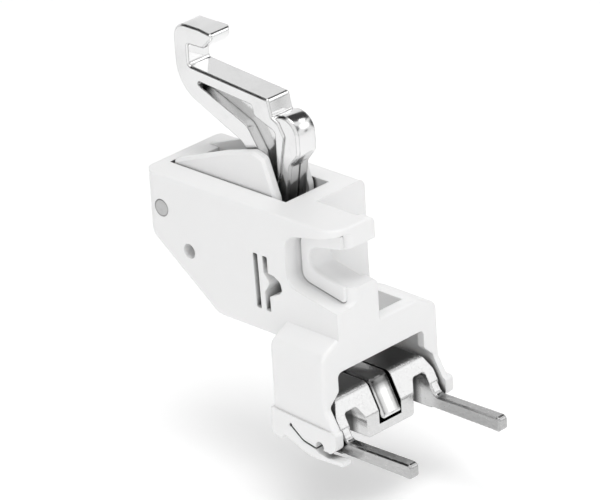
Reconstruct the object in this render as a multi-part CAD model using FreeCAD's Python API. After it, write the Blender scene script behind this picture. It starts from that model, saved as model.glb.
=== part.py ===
import FreeCAD, Part
import os
from math import cos, pi, radians, sin, tan

# All sizes are in millimetres. The pieces are drawn about the foot's mid plane:
# X runs across, -Y to the front where the prongs point, +Z up the presser bar.
# The bar's axis stands at Y = 0 and the clamp screw's axis at Z = 0.

# Presser bar and clamp screw that the holder is made for
BAR_RADIUS = 3.5
SEAT_X = -1.4
SCREW_SLOT_RADIUS = 1.83
SLOT_FLARE = 11.5
BAR_ROOM = 0.7

# Housing: rear tray
TRAY_HALF_WIDTH = 8.0
TRAY_TOP = 6.3
TRAY_REAR = 30.8
TRAY_BOTTOM = -12.45
TRAY_HEEL = -2.12
TRAY_KEEL = 16.9
HEEL_ROUND = 4.5
KEEL_ROUND = 5.0
TRAY_EDGE = 0.8
TRAY_CORNER = 2.0
TRAY_FAR_ROUND = 1.1
TOP_EDGE = 0.4
WELL_HALF_WIDTH = 4.2
WELL_FRONT = 6.9
WELL_REAR = TRAY_REAR - 1.5
FLOOR_THICK = 1.4
LEG_OPENING_REAR = 17.0

# Housing: fork plate round the clamp screw
FRONT = -5.45
LIP_X = 0.1
PLATE_NEAR_X = -5.0
RECESS_REAR = 3.8
RECESS_TOP = 3.52
RECESS_BOTTOM = -3.75
RECESS_SLOPE = 0.2
RECESS_TOP_ROUND = 2.6
RECESS_BOTTOM_ROUND = 2.0
RECESS_FLOOR_ROUND = 0.9
BOSS_ROUND = 2.9
LIP_ROUND = 1.1
MOUTH_ROUND = 1.2

# Housing: shoulders, pocket for the bar's end, and skirt round the claw
SHOULDER_TOP = -9.1
SHOULDER_SPREAD = 3.8
SHOULDER_DROP = 1.9
SHOULDER_ROUND = 1.5
BLOCK_EDGE = 0.5
BLOCK_REAR = 4.6
POCKET_FLOOR = -12.2
SKIRT_WALL = 1.2
SKIRT_ROOM = 0.5
SKIRT_ROOF = -13.4
OPENING_INSET = 2.9
OPENING_TOP = -14.15
OPENING_KNEE = -16.9
OPENING_FLARE_END = -18.5
SKIRT_FRONT_END = -18.9
BAND_STEP = 0.3
BAND_TOP_REAR = -20.9
BAND_FRONT = -7.5
FOOT_BOTTOM = -25.2
FINGER_TIP = -8.75
FINGER_BOTTOM = -26.3
FOOT_PIN_RADIUS = 0.75
FOOT_PIN_Y = -4.4
FOOT_PIN_Z = -24.28
SLIT_WIDTH = 0.3
SLIT_END_RADIUS = 0.28

# Housing: openings in the near wall of the tray
SIDE_SLOT_WIDTH = 0.88
SIDE_SLOT_TOP = -0.64
SIDE_SLOT_BOTTOM = -8.82
SIDE_SLOT_LEAN = 0.25
SIDE_SLOT_REAR_Y = 9.66
SIDE_SLOT_FRONT_Y = 7.85
WINDOW_TOP = -3.0
WINDOW_BOTTOM = -6.8
WINDOW_FRONT = 4.8
WINDOW_DEPTH = 2.6
BUMP_FRONT = 7.28
BUMP_TOP = -3.1
BUMP_BOTTOM = -6.2
SIDE_HOLE_RADIUS = 1.08
SIDE_HOLE_Y = 22.55
SIDE_HOLE_Z = -4.06

# Pivots: Y and Z of each axis, pin radius and running clearance
REAR_PIVOT = (27.54, 1.18)
REAR_PIN_RADIUS = 0.8
REAR_PIN_HEAD_RADIUS = 1.3
REAR_PIN_HEAD_LENGTH = 1.6
ARM_PIVOT = (11.6, 3.0)
ARM_PIN_RADIUS = 0.9
CLAW_PIVOT = (-1.8, -20.6)
CLAW_PIN_RADIUS = 0.8
CLAW_PIN_HEAD_RADIUS = 1.15
CLAW_PIN_HEAD_LENGTH = 0.4
RUNNING_FIT = 0.05

# Lift lever
LEVER_HALF_WIDTH = 3.95
LEVER_WALL = 1.3
LEVER_EYE_RADIUS = 1.5
LEVER_EYE_ROOM = 0.25
LEVER_FRONT = 9.2
LEVER_REAR = 28.9
LEVER_EDGE = 0.4
LEVER_BOTTOM = -1.6
LEVER_WEB = 1.2
LEVER_WEB_FRONT = 16.0
LEVER_WEB_REAR = 24.2
LEVER_BAR_FRONT = 26.5
LEVER_BAR_REAR = 28.6
LEVER_BAR_TOP = 6.8
LEVER_BAR_BOTTOM = 4.2

# Feed arm
ARM_HALF_WIDTH = 2.2
WEB_HALF_WIDTH = 0.6
POST_HALF_WIDTH = 1.9
KNUCKLE = (9.05, 14.75)
KNUCKLE_RADIUS = 2.8
KNUCKLE_UNDERSIDE = 12.3
KNUCKLE_BLEND = 1.5
NECK = (7.95, 10.3)
HUB_RADIUS = 2.4
HUB_NEAR_X = -0.9
TOE_TOP = -17.95
TOE_END = -23.35
TOE_CORNER = -4.5
TOE_SLOPE = 27.5
TOE_ROUND = 1.15
TOE_EDGE = 0.35
ARM_EDGE = 0.25
HOOK_TOP = 26.75
HOOK_NOSE = 21.0
HOOK_NEAR_ROUND = 1.1
HOOK_FAR_ROUND = 2.4
HOOK_FAR_EDGE = 1.0
HOOK_MOUTH = 23.0
SPINE_BOTTOM = 16.8
POST_REAR = 10.3
POST_FOOT = (8.95, 4.0)
MOULD_LINE_WIDTH = 0.24
MOULD_LINE_DEPTH = 0.15

# Feed claw
CLAW_HALF_WIDTH = 9.7
PRONG_WIDTH = 1.7
PRONG_HEIGHT = 2.0
CLAW_TOP = -18.1
CLAW_REAR = 3.0
CLAW_CORNER = -4.6
CLAW_FACE_END = -22.0
CLAW_BOTTOM = -25.5
PRONG_TIP = -19.45
PRONG_TIP_ROUND = 0.7
PRONG_EDGE = 0.25
BRACKET_LEAN = 1.05
BRACKET_BOTTOM = -25.2
BRACKET_SLOT_HALF_WIDTH = 2.2
TOE_ROOM = 0.6
BRACKET_REAR = 1.5
NOTCH_TOP = -20.2
NOTCH_WIDTH = 2.35
CLAW_SKIN = 1.1
CLAW_FRONT_SKIN = 1.7
TOOTH_PITCH = 0.8
TOOTH_DEPTH = 0.35
TOOTH_START = -2.9

# Sizes that follow from the ones above
TRAY_FRONT = BAR_RADIUS + BAR_ROOM / 2
SKIRT_HALF_WIDTH = CLAW_HALF_WIDTH + SKIRT_ROOM + SKIRT_WALL
SHOULDER_FLAT = SKIRT_HALF_WIDTH - SHOULDER_SPREAD
OPENING_HALF_WIDTH = SKIRT_HALF_WIDTH - OPENING_INSET
LEG_INSIDE = CLAW_HALF_WIDTH - PRONG_WIDTH
NOTCH_IN = LEG_INSIDE - NOTCH_WIDTH
BRACKET_HALF_WIDTH = NOTCH_IN - BRACKET_LEAN
PRONG_TOP = CLAW_BOTTOM + PRONG_HEIGHT
BRACKET_SLOT_BOTTOM = TOE_END - TOE_ROOM

# Springs
LIFT_SPRING_Y = 19.6
LIFT_SPRING_RADIUS = 1.75
LIFT_SPRING_WIRE = 0.25
LIFT_SPRING_STEPS = 48
LIFT_SEAT_TOP = -7.4
LIFT_SEAT_RADIUS = 2.4
LIFT_SPIGOT_RADIUS = 1.1
LIFT_SPIGOT_HEIGHT = 1.5
ARM_SPRING_RADIUS = 1.45
ARM_SPRING_WIRE = 0.2
ARM_SPRING_START_STEPS = 2
ARM_SPRING_END_STEPS = 25
ARM_SPRING_REACH = 8.3
CLAW_SPRING_RADIUS = 1.05
CLAW_SPRING_WIRE = 0.16
CLAW_SPRING_STEPS = 30
CLAW_SPRING_ROOM = 0.35
SPRING_GAP = 0.06
COIL_SIDES = 12
WIRE_SIDES = 8
MITRED = 1

# Free-form outlines, as Y, Z and a corner radius
HOOK_AND_SPINE = [
    (29.1, HOOK_TOP, 2.4),
    (24.0, HOOK_TOP, 3.0),
    (HOOK_NOSE, 26.3, 0.5),
    (23.3, 23.95, 0.8),
    (26.4, 23.9, 0.4),
    (26.4, 20.75, 0.5),
    (11.3, 19.5, 0.5),
    (10.75, 17.1, 0.3),
    (9.55, 16.5, 0.3),
    (8.6, 14.8),
    (10.0, 8.0),
    (14.4, 6.0, 2.0),
    (16.4, 11.6, 2.2),
    (28.9, 17.2, 6.0),
]
SPINE_POCKET = [
    (27.0, 19.15, 0.4),
    (16.4, 18.2, 0.5),
    (14.35, 18.05, 0.5),
    (14.0, 16.5, 0.6),
    (10.15, 15.1, 0.8),
    (POST_REAR, 5.0),
    (12.6, 5.0),
    (13.3, 11.1, 1.5),
    (15.6, 14.6, 2.5),
]
LEVER_TOP = [
    (LEVER_REAR, 6.6, 0.6),
    (19.0, 10.3, 12.0),
    (13.2, 11.95, 1.5),
    (11.2, 11.35, 0.9),
]

TINY = 1e-6
V = FreeCAD.Vector


def corner_arc(before, here, after, radius):
    """Start, middle and end of the arc that rounds one corner of an outline."""
    to_before = (before - here).normalize()
    to_after = (after - here).normalize()
    half_angle = to_before.getAngle(to_after) / 2
    inward = (to_before + to_after).normalize()
    setback = radius / tan(half_angle)
    centre = here + inward * (radius / sin(half_angle))
    return here + to_before * setback, centre - inward * radius, here + to_after * setback


def outline_face(points, place):
    """A flat face inside an outline; a third value on a point rounds that corner."""
    flat = [V(point[0], point[1], 0) for point in points]
    corners = []
    for index, point in enumerate(points):
        here = flat[index]
        if len(point) < 3:
            corners.append((here, None, here))
            continue
        after = flat[(index + 1) % len(points)]
        corners.append(corner_arc(flat[index - 1], here, after, point[2]))
    edges = []
    for index, (start, middle, end) in enumerate(corners):
        if middle is not None:
            edges.append(Part.Arc(place(start), place(middle), place(end)).toShape())
        next_start = corners[(index + 1) % len(corners)][0]
        if (next_start - end).Length > TINY:
            edges.append(Part.LineSegment(place(end), place(next_start)).toShape())
    return Part.Face(Part.Wire(edges))


def side_prism(points, x_from, x_to):
    """An outline of Y and Z values, carried along X."""
    face = outline_face(points, lambda p: V(x_from, p.x, p.y))
    return face.extrude(V(x_to - x_from, 0, 0))


def front_prism(points, y_from, y_to):
    """An outline of X and Z values, carried along Y."""
    face = outline_face(points, lambda p: V(p.x, y_from, p.y))
    return face.extrude(V(0, y_to - y_from, 0))


def top_prism(points, z_from, z_to):
    """An outline of X and Y values, carried along Z."""
    face = outline_face(points, lambda p: V(p.x, p.y, z_from))
    return face.extrude(V(0, 0, z_to - z_from))


def box(x, y, z):
    """A box from three pairs of limits."""
    low = V(min(x), min(y), min(z))
    return Part.makeBox(max(x) - low.x, max(y) - low.y, max(z) - low.z, low)


def rod(radius, at, x_from, x_to):
    """A cylinder along X, centred on a Y and Z."""
    return Part.makeCylinder(radius, x_to - x_from, V(x_from, at[0], at[1]), V(1, 0, 0))


def both_sides(shape):
    """A shape and its mirror image in the mid plane."""
    return shape.fuse(shape.mirror(V(0, 0, 0), V(1, 0, 0)))


def edges_inside(shape, low, high):
    """The edges that lie inside a box given by two corners."""
    region = FreeCAD.BoundBox(*low, *high)
    return [edge for edge in shape.Edges if region.isInside(edge.BoundBox)]


def round_edges(shape, radius, low, high):
    """Round every edge that lies inside a box given by two corners."""
    return shape.makeFillet(radius, edges_inside(shape, low, high))


def rounding(radius, x, z, y_from, y_to):
    """What goes when an upper right-hand edge along Y is rounded."""
    corner = box((x - radius, x + radius), (y_from, y_to), (z - radius, z + radius))
    centre = V(x - radius, y_from, z - radius)
    return corner.cut(Part.makeCylinder(radius, y_to - y_from, centre, V(0, 1, 0)))


def post_rounding(radius, x, y, z_from, z_to):
    """What goes when an upright edge at the front is rounded; x may be on either side."""
    side = 1 if x > 0 else -1
    corner = box((x - side * radius, x + side * radius), (y - radius, y + radius), (z_from, z_to))
    centre = V(x - side * radius, y + radius, z_from)
    return corner.cut(Part.makeCylinder(radius, z_to - z_from, centre))


# Housing

def tray_floor(y):
    """Height of the inside of the sloping floor."""
    slope = (TRAY_HEEL - TRAY_BOTTOM) / (TRAY_REAR - TRAY_KEEL)
    rise = FLOOR_THICK * (1 + slope * slope) ** 0.5
    return TRAY_HEEL + slope * (y - TRAY_REAR) + rise


def tray():
    """The long box behind the presser bar, before its hollows are cut."""
    outline = [
        (TRAY_FRONT, TRAY_TOP),
        (TRAY_REAR, TRAY_TOP),
        (TRAY_REAR, TRAY_HEEL, HEEL_ROUND),
        (TRAY_KEEL, TRAY_BOTTOM, KEEL_ROUND),
        (TRAY_FRONT, TRAY_BOTTOM),
    ]
    plan = [
        (-TRAY_HALF_WIDTH, TRAY_FRONT),
        (TRAY_HALF_WIDTH, TRAY_FRONT),
        (TRAY_HALF_WIDTH, TRAY_REAR, TRAY_CORNER),
        (-TRAY_HALF_WIDTH, TRAY_REAR, TRAY_CORNER),
    ]
    front_view = [
        (-TRAY_HALF_WIDTH, TRAY_BOTTOM, TRAY_EDGE),
        (TRAY_HALF_WIDTH, TRAY_BOTTOM, TRAY_EDGE),
        (TRAY_HALF_WIDTH, TRAY_TOP, TRAY_FAR_ROUND),
        (-TRAY_HALF_WIDTH, TRAY_TOP, TOP_EDGE),
    ]
    body = side_prism(outline, -TRAY_HALF_WIDTH, TRAY_HALF_WIDTH)
    body = body.common(top_prism(plan, TRAY_BOTTOM - 1, TRAY_TOP + 1))
    return body.common(front_prism(front_view, TRAY_FRONT - 1, TRAY_REAR + 1))


def tray_well():
    """The space for the lever and the arm, open at the top and under the leg."""
    outline = [
        (WELL_FRONT, TRAY_TOP + 1),
        (WELL_REAR, TRAY_TOP + 1),
        (WELL_REAR, tray_floor(WELL_REAR)),
        (LEG_OPENING_REAR, tray_floor(LEG_OPENING_REAR)),
        (LEG_OPENING_REAR, TRAY_BOTTOM - 1),
        (WELL_FRONT, TRAY_BOTTOM - 1),
    ]
    well = side_prism(outline, -WELL_HALF_WIDTH, WELL_HALF_WIDTH)
    eye_room = rod(LEVER_EYE_RADIUS + LEVER_EYE_ROOM, REAR_PIVOT, -WELL_HALF_WIDTH, WELL_HALF_WIDTH)
    return well.fuse(eye_room)


def spring_seat():
    """The moulded seat and spigot under the lift spring."""
    floor = tray_floor(LIFT_SPRING_Y - LIFT_SEAT_RADIUS) - FLOOR_THICK / 2
    foot = V(0, LIFT_SPRING_Y, floor)
    seat = Part.makeCylinder(LIFT_SEAT_RADIUS, LIFT_SEAT_TOP - floor, foot)
    spigot_height = LIFT_SEAT_TOP + LIFT_SPIGOT_HEIGHT - floor
    spigot = Part.makeCylinder(LIFT_SPIGOT_RADIUS, spigot_height, foot)
    return seat.fuse(spigot).common(tray())


def side_slot(top_y, x_from, x_to):
    """One of the two narrow, slightly leaning slots."""
    half = SIDE_SLOT_WIDTH / 2
    low_y = top_y - SIDE_SLOT_LEAN
    outline = [
        (top_y - half, SIDE_SLOT_TOP, 0.2),
        (top_y + half, SIDE_SLOT_TOP, 0.2),
        (low_y + half, SIDE_SLOT_BOTTOM, 0.2),
        (low_y - half, SIDE_SLOT_BOTTOM, 0.2),
    ]
    return side_prism(outline, x_from, x_to)


def side_cuts():
    """Slots, catch window and round hole in the near wall."""
    outside = -TRAY_HALF_WIDTH - 1
    window = side_prism([
        (SIDE_SLOT_FRONT_Y - 0.1, WINDOW_TOP),
        (SIDE_SLOT_FRONT_Y - 0.1, WINDOW_BOTTOM),
        (WINDOW_FRONT + 0.5, WINDOW_BOTTOM + 1.2, 0.3),
        (WINDOW_FRONT, WINDOW_BOTTOM + 1.8, 0.3),
        (WINDOW_FRONT + 0.3, WINDOW_TOP - 0.8, 0.8),
        (WINDOW_FRONT + 1.4, WINDOW_TOP - 0.2, 0.6),
    ], outside, -TRAY_HALF_WIDTH + WINDOW_DEPTH)
    slot_rear = SIDE_SLOT_FRONT_Y + SIDE_SLOT_WIDTH / 2
    bump = side_prism([
        (slot_rear, BUMP_TOP),
        (BUMP_FRONT, BUMP_TOP - 1.2, 0.6),
        (BUMP_FRONT, BUMP_BOTTOM + 1.4, 0.6),
        (slot_rear, BUMP_BOTTOM),
    ], outside, -WELL_HALF_WIDTH)
    front_slot = side_slot(SIDE_SLOT_FRONT_Y, outside, -WELL_HALF_WIDTH + 1)
    rear_slot = side_slot(SIDE_SLOT_REAR_Y, outside, -WELL_HALF_WIDTH + 1)
    hole = rod(SIDE_HOLE_RADIUS, (SIDE_HOLE_Y, SIDE_HOLE_Z), outside, -WELL_HALF_WIDTH + 1)
    return front_slot.fuse([window]).cut(bump).fuse([rear_slot, hole])


def rear_pin_bore():
    """Bore right across the tray, wider at the near end for the pin's head."""
    reach = TRAY_HALF_WIDTH + 1
    bore = rod(REAR_PIN_RADIUS, REAR_PIVOT, -reach, reach)
    head = rod(REAR_PIN_HEAD_RADIUS, REAR_PIVOT, -reach, REAR_PIN_HEAD_LENGTH - TRAY_HALF_WIDTH)
    return bore.fuse(head)


def recess():
    """Room for the clamp screw's head, open to the side and the front."""
    reach = RECESS_REAR - FRONT + 1
    outline = [
        (RECESS_REAR - reach, RECESS_TOP + reach * RECESS_SLOPE),
        (RECESS_REAR, RECESS_TOP, RECESS_TOP_ROUND),
        (RECESS_REAR, RECESS_BOTTOM, RECESS_BOTTOM_ROUND),
        (RECESS_REAR - reach, RECESS_BOTTOM - reach * RECESS_SLOPE),
    ]
    cutter = side_prism(outline, -TRAY_HALF_WIDTH - 2, PLATE_NEAR_X)
    mouth = side_prism(outline, PLATE_NEAR_X - RECESS_FLOOR_ROUND, PLATE_NEAR_X + MOUTH_ROUND)
    mouth = mouth.common(post_rounding(MOUTH_ROUND, PLATE_NEAR_X, FRONT, -TRAY_TOP - 3, TRAY_TOP + 3))
    cutter = cutter.fuse(mouth).removeSplitter()
    inner = edges_inside(cutter, (PLATE_NEAR_X - TINY, FRONT - TINY, -TRAY_TOP - 3),
                         (PLATE_NEAR_X + MOUTH_ROUND + TINY, RECESS_REAR + 1, TRAY_TOP + 3))
    rim = [edge for edge in inner if edge.BoundBox.YLength > TINY * 10 or edge.BoundBox.YMin > 0]
    return cutter.makeFillet(RECESS_FLOOR_ROUND, rim)


def screw_slot():
    """The U slot for the clamp screw, flared towards the front."""
    slope = tan(radians(SLOT_FLARE))
    half_at_centre = SCREW_SLOT_RADIUS / cos(radians(SLOT_FLARE))
    mouth = FRONT - 1
    half_mouth = half_at_centre - slope * mouth
    half_end = half_at_centre - slope * SCREW_SLOT_RADIUS
    outline = [
        (mouth, half_mouth),
        (SCREW_SLOT_RADIUS, half_end, SCREW_SLOT_RADIUS),
        (SCREW_SLOT_RADIUS, -half_end, SCREW_SLOT_RADIUS),
        (mouth, -half_mouth),
    ]
    return side_prism(outline, PLATE_NEAR_X - 1, LIP_X + 1)


def fork():
    """The plate that the bar is clamped to, with its recess, slot and lips."""
    block = box((-TRAY_HALF_WIDTH, LIP_X), (FRONT, TRAY_FRONT + 1), (SHOULDER_TOP - 1, TRAY_TOP))
    block = block.cut(post_rounding(BOSS_ROUND, -TRAY_HALF_WIDTH, FRONT, 0, TRAY_TOP + 1))
    inside = BOSS_ROUND + TINY
    block = round_edges(block, TOP_EDGE, (-TRAY_HALF_WIDTH - 1, FRONT - 1, TRAY_TOP - TINY),
                        (inside - TRAY_HALF_WIDTH, FRONT + inside, TRAY_TOP + TINY))
    channel = box((SEAT_X, LIP_X + 1), (-TRAY_FRONT, TRAY_FRONT), (SHOULDER_TOP - 1, TRAY_TOP + 1))
    upper_lip = rounding(LIP_ROUND, LIP_X, TRAY_TOP, FRONT - 1, TRAY_FRONT)
    lower_lip = rounding(LIP_ROUND, LIP_X, 0, FRONT - 2, TRAY_FRONT)
    lower_lip.rotate(V(0, 0, 0), V(1, 0, 0), SLOT_FLARE)
    lower_lip.translate(V(0, 0, -SCREW_SLOT_RADIUS / cos(radians(SLOT_FLARE))))
    return block.cut([channel, recess(), screw_slot(), upper_lip, lower_lip])


def shoulder_outline(bottom):
    """Front view of the block under the fork."""
    low = SHOULDER_TOP - SHOULDER_DROP
    return [
        (-SHOULDER_FLAT, SHOULDER_TOP, 0.4),
        (SHOULDER_FLAT, SHOULDER_TOP, 0.8),
        (SKIRT_HALF_WIDTH, low, SHOULDER_ROUND),
        (SKIRT_HALF_WIDTH, bottom),
        (-SKIRT_HALF_WIDTH, bottom),
        (-SKIRT_HALF_WIDTH, low, SHOULDER_ROUND),
    ]


def skirt_opening(y_from, y_to):
    """The opening that the claw looks out of, flared at its foot."""
    wide = SKIRT_HALF_WIDTH - SKIRT_WALL
    below = OPENING_FLARE_END - 3
    outline = [
        (-OPENING_HALF_WIDTH, OPENING_TOP, 0.8),
        (OPENING_HALF_WIDTH, OPENING_TOP, 0.8),
        (OPENING_HALF_WIDTH, OPENING_KNEE, 0.6),
        (wide, OPENING_FLARE_END, 0.6),
        (wide, below),
        (-wide, below),
        (-wide, OPENING_FLARE_END, 0.6),
        (-OPENING_HALF_WIDTH, OPENING_KNEE, 0.6),
    ]
    return front_prism(outline, y_from, y_to)


def skirt_wall():
    """One side wall, which leans forward below the end of the front wall."""
    return side_prism([
        (FRONT, SKIRT_FRONT_END + 2),
        (BLOCK_REAR, SKIRT_FRONT_END + 2),
        (BLOCK_REAR, BAND_TOP_REAR - 1),
        (BAND_FRONT + BAND_STEP, BAND_TOP_REAR - 1),
        (FRONT, SKIRT_FRONT_END, 1.0),
    ], SKIRT_HALF_WIDTH - SKIRT_WALL, SKIRT_HALF_WIDTH)


def skirt_block():
    """Shoulders and skirt walls down to the band."""
    block = front_prism(shoulder_outline(SKIRT_FRONT_END), FRONT, BLOCK_REAR)
    block = block.fuse(both_sides(skirt_wall())).removeSplitter()
    wide = SKIRT_HALF_WIDTH + 1
    for y, radius in ((BLOCK_REAR, TRAY_EDGE), (FRONT, BLOCK_EDGE)):
        block = round_edges(block, radius, (-wide, y - TINY, OPENING_TOP), (wide, y + TINY, SHOULDER_TOP + 1))
    inside = SKIRT_HALF_WIDTH - SKIRT_WALL
    hollow = box((-inside, inside), (FRONT + SKIRT_WALL, BLOCK_REAR - SKIRT_WALL),
                 (SKIRT_FRONT_END - 1, SKIRT_ROOF))
    pocket = box((SEAT_X, SEAT_X + 2 * BAR_RADIUS + BAR_ROOM), (-TRAY_FRONT, TRAY_FRONT),
                 (POCKET_FLOOR, SHOULDER_TOP + 1))
    return block.cut([hollow, pocket, skirt_opening(FRONT - 1, BLOCK_REAR + 1)])


def skirt_side():
    """The thicker band at the foot of one side wall, with its foot and snap finger."""
    inside = SKIRT_HALF_WIDTH - SKIRT_WALL
    band = side_prism([
        (BLOCK_REAR, BAND_TOP_REAR),
        (BLOCK_REAR, FOOT_BOTTOM, 0.9),
        (2.9, FOOT_BOTTOM, 0.5),
        (2.2, FOOT_BOTTOM + 0.7, 0.4),
        (-2.6, FINGER_BOTTOM, 5.0),
        (FINGER_TIP, FINGER_BOTTOM + 0.25, 0.2),
        (FINGER_TIP, FINGER_BOTTOM + 0.95, 0.2),
        (FOOT_PIN_Y - 1.2, FINGER_BOTTOM + 0.7),
        (FOOT_PIN_Y - 1.2, FOOT_BOTTOM + 0.5),
        (FOOT_PIN_Y - 2.0, FOOT_BOTTOM + 0.4, 0.5),
        (BAND_FRONT, FOOT_BOTTOM + 1.3, 1.0),
        (BAND_FRONT, BAND_TOP_REAR - 0.75, 0.5),
    ], inside, SKIRT_HALF_WIDTH + BAND_STEP)
    mouth = side_prism([
        (FOOT_PIN_Y - 1.6, FOOT_BOTTOM + 0.5),
        (FOOT_PIN_Y + 0.7, FOOT_BOTTOM + 0.6),
        (-1.3, -24.12, 2.0),
        (0.85, -22.5),
        (0.85 + SLIT_WIDTH, -22.7),
        (-1.2, -24.12 - SLIT_WIDTH, 2.3),
        (FOOT_PIN_Y + 0.8, -24.9),
        (FOOT_PIN_Y + 0.4, FINGER_BOTTOM + 1.0, 0.3),
        (FOOT_PIN_Y - 1.6, FINGER_BOTTOM + 0.68),
    ], inside - 1, SKIRT_HALF_WIDTH + 1)
    pin_seat = rod(FOOT_PIN_RADIUS, (FOOT_PIN_Y, FOOT_PIN_Z), inside - 1, SKIRT_HALF_WIDTH + 1)
    slit_end = rod(SLIT_END_RADIUS, (0.95, -22.6), inside - 1, SKIRT_HALF_WIDTH + 1)
    return band.cut([mouth, pin_seat, slit_end])


def make_housing():
    """The white moulding: tray, fork, shoulders, skirt, feet and snap fingers."""
    body = tray().fuse([fork(), skirt_block(), both_sides(skirt_side())])
    body = body.cut([tray_well(), side_cuts(), rear_pin_bore()])
    return body.fuse(spring_seat()).removeSplitter()


# Lift lever and its pins

def make_rear_pivot_pin():
    """Headed pin, flush with both sides of the tray."""
    shank = rod(REAR_PIN_RADIUS, REAR_PIVOT, -TRAY_HALF_WIDTH, TRAY_HALF_WIDTH)
    head = rod(REAR_PIN_HEAD_RADIUS, REAR_PIVOT, -TRAY_HALF_WIDTH, REAR_PIN_HEAD_LENGTH - TRAY_HALF_WIDTH)
    return shank.fuse(head).removeSplitter()


def lever_plate():
    """One side plate of the lever with its two pin holes."""
    eye_y, eye_z = REAR_PIVOT
    outline = LEVER_TOP + [
        (LEVER_FRONT, TRAY_TOP - 0.5, 2.0),
        (LEVER_FRONT, LEVER_BOTTOM, 2.0),
        (eye_y - LEVER_EYE_RADIUS, LEVER_BOTTOM, 1.0),
        (eye_y, eye_z - LEVER_EYE_RADIUS),
        (eye_y, eye_z),
        (LEVER_REAR, eye_z),
    ]
    inside = LEVER_HALF_WIDTH - LEVER_WALL
    plate = side_prism(outline, inside, LEVER_HALF_WIDTH)
    top = edges_inside(plate, (LEVER_HALF_WIDTH - TINY, LEVER_FRONT - 1, TRAY_TOP),
                       (LEVER_HALF_WIDTH + TINY, LEVER_REAR - 2, HOOK_MOUTH))
    plate = plate.makeChamfer(LEVER_EDGE, top)
    return plate.fuse(rod(LEVER_EYE_RADIUS, REAR_PIVOT, inside, LEVER_HALF_WIDTH))


def make_lift_lever():
    """White U-shaped lever that carries the arm's pin in front."""
    inside = LEVER_HALF_WIDTH - LEVER_WALL
    cross = (-inside, inside)
    bar = box(cross, (LEVER_BAR_FRONT, LEVER_BAR_REAR), (LEVER_BAR_BOTTOM, LEVER_BAR_TOP))
    web = box(cross, (LEVER_WEB_FRONT, LEVER_WEB_REAR), (LEVER_BOTTOM, LEVER_BOTTOM + LEVER_WEB))
    body = both_sides(lever_plate()).fuse([bar, web])
    reach = LEVER_HALF_WIDTH + 1
    rear_bore = rod(REAR_PIN_RADIUS + RUNNING_FIT, REAR_PIVOT, -reach, reach)
    front_bore = rod(ARM_PIN_RADIUS, ARM_PIVOT, -reach, reach)
    return body.cut([rear_bore, front_bore]).removeSplitter()


def make_arm_pivot_pin():
    """Plain pin, flush with the lever's plates."""
    return rod(ARM_PIN_RADIUS, ARM_PIVOT, -LEVER_HALF_WIDTH, LEVER_HALF_WIDTH)


def make_arm_spacer():
    """Ring on the arm's pin, beside the hub."""
    x_from = POST_HALF_WIDTH + RUNNING_FIT
    x_to = LEVER_HALF_WIDTH - LEVER_WALL - RUNNING_FIT
    ring = rod(HUB_RADIUS - 0.4, ARM_PIVOT, x_from, x_to)
    return ring.cut(rod(ARM_PIN_RADIUS + RUNNING_FIT, ARM_PIVOT, x_from - 1, x_to + 1))


# Feed arm

def toe_face_y(z, corner, top):
    """Y of a sloping front face at a height."""
    return corner - (top - z) * tan(radians(TOE_SLOPE))


def arm_leg():
    """Knuckle, post, leg and foot bar down to the toe in the claw."""
    hub_y, hub_z = ARM_PIVOT
    knuckle_y, knuckle_z = KNUCKLE
    outline = [
        (knuckle_y + KNUCKLE_RADIUS, knuckle_z + KNUCKLE_RADIUS, KNUCKLE_RADIUS),
        (knuckle_y - KNUCKLE_RADIUS, knuckle_z + KNUCKLE_RADIUS, KNUCKLE_RADIUS),
        (knuckle_y - KNUCKLE_RADIUS, KNUCKLE_UNDERSIDE, KNUCKLE_BLEND),
        (NECK[0], NECK[1], KNUCKLE_BLEND),
        (POST_FOOT[0], POST_FOOT[1], 3.0),
        (9.3, -12.2, 2.0),
        (7.4, -15.3, 2.0),
        (1.5, TOE_TOP, 3.0),
        (TOE_CORNER, TOE_TOP, TOE_ROUND),
        (toe_face_y(TOE_END, TOE_CORNER, TOE_TOP), TOE_END, 0.4),
        (CLAW_PIVOT[0] - 1.0, TOE_END, 1.0),
        (CLAW_PIVOT[0] + 2.2, CLAW_PIVOT[1] - 1.4, 1.0),
        (4.0, CLAW_PIVOT[1] + 0.4, 2.5),
        (12.9, -18.4, 2.8),
        (13.4, -6.0, 6.0),
        (hub_y + HUB_RADIUS, hub_z),
        (13.2, 8.0),
        (10.25, 9.4),
        (knuckle_y + KNUCKLE_RADIUS, knuckle_z - 1.0),
    ]
    leg = side_prism(outline, -POST_HALF_WIDTH, POST_HALF_WIDTH)
    toe = edges_inside(leg, (-POST_HALF_WIDTH - 1, -TRAY_TOP, TOE_END - 1),
                       (POST_HALF_WIDTH + 1, TOE_CORNER + 1, TOE_TOP + TINY))
    return leg.makeChamfer(TOE_EDGE, [edge for edge in toe if edge.BoundBox.XLength < TINY * 10])


def hook_trims():
    """What goes from the hook: both corners of its nose, its far edge and the mould line."""
    high = HOOK_TOP + 1
    near = post_rounding(HOOK_NEAR_ROUND, -ARM_HALF_WIDTH, HOOK_NOSE, HOOK_MOUTH, high)
    far = post_rounding(HOOK_FAR_ROUND, ARM_HALF_WIDTH, HOOK_NOSE, HOOK_MOUTH, high)
    edge = rounding(HOOK_FAR_EDGE, ARM_HALF_WIDTH, HOOK_TOP, HOOK_NOSE - 1, TRAY_REAR)
    return [near, far, edge]


def mould_line():
    """The shallow line down the middle of the post's front."""
    y, z = NECK
    foot_y, foot_z = POST_FOOT
    outline = [(y - 1, z), (y + MOULD_LINE_DEPTH, z), (foot_y + MOULD_LINE_DEPTH, foot_z), (y - 1, foot_z)]
    return side_prism(outline, -MOULD_LINE_WIDTH / 2, MOULD_LINE_WIDTH / 2)


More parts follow.
